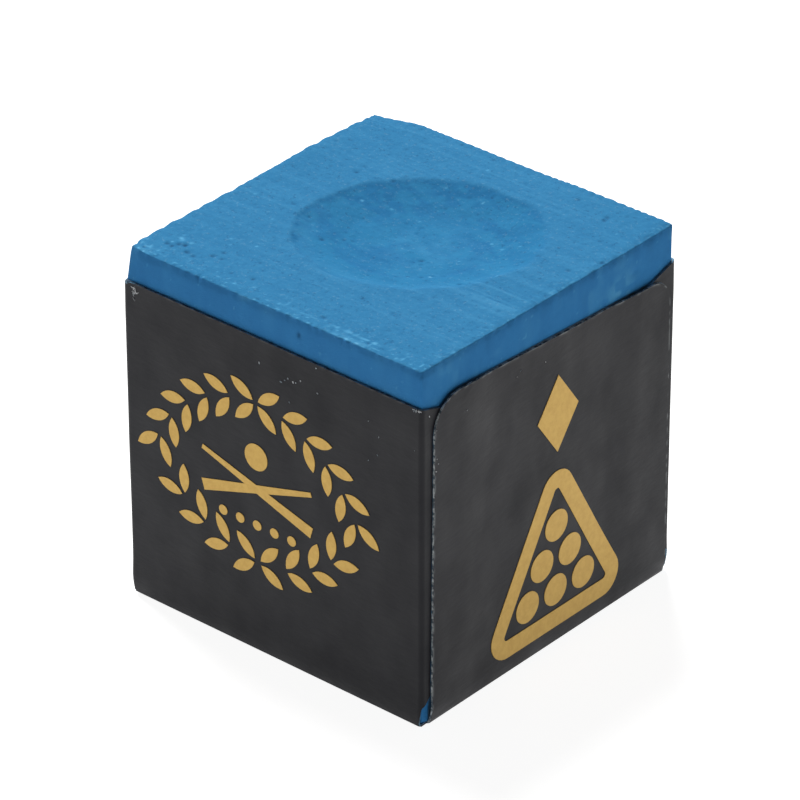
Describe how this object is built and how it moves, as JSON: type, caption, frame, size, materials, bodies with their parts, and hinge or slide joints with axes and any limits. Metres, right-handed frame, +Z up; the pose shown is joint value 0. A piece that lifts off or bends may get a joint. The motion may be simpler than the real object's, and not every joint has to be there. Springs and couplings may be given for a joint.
{
  "type": "cue chalk cube",
  "caption": "Free-standing block of billiard cue chalk with a shallow round hollow in its top for the cue tip and a folded paper label with foil ornaments around its sides and base.",
  "frame": {"origin": "centre of the underside, on the surface the cube stands on", "axes": "+Z up through the hollow in the top; -Y out of the front wide flap; +X out of the right narrow flap"},
  "size_m": [0.0226, 0.0222, 0.0231],
  "materials": {
    "pressed_chalk": "matte, powdery",
    "label_paper": "semi-matte coated",
    "adhesive": "tacky film",
    "gold_foil": "satin foil"
  },
  "bodies": {
    "root": {"chalk_block": "pressed_chalk", "label_base_panel": "label_paper", "label_front_flap": "label_paper", "label_back_flap": "label_paper", "label_right_flap": "label_paper", "label_left_flap": "label_paper", "adhesive_base": "adhesive", "adhesive_front": "adhesive", "adhesive_back": "adhesive", "adhesive_right": "adhesive", "adhesive_left": "adhesive", "gold_print_front": "gold_foil", "gold_print_back": "gold_foil", "gold_print_right": "gold_foil", "gold_print_left": "gold_foil"}
  },
  "joints": []
}
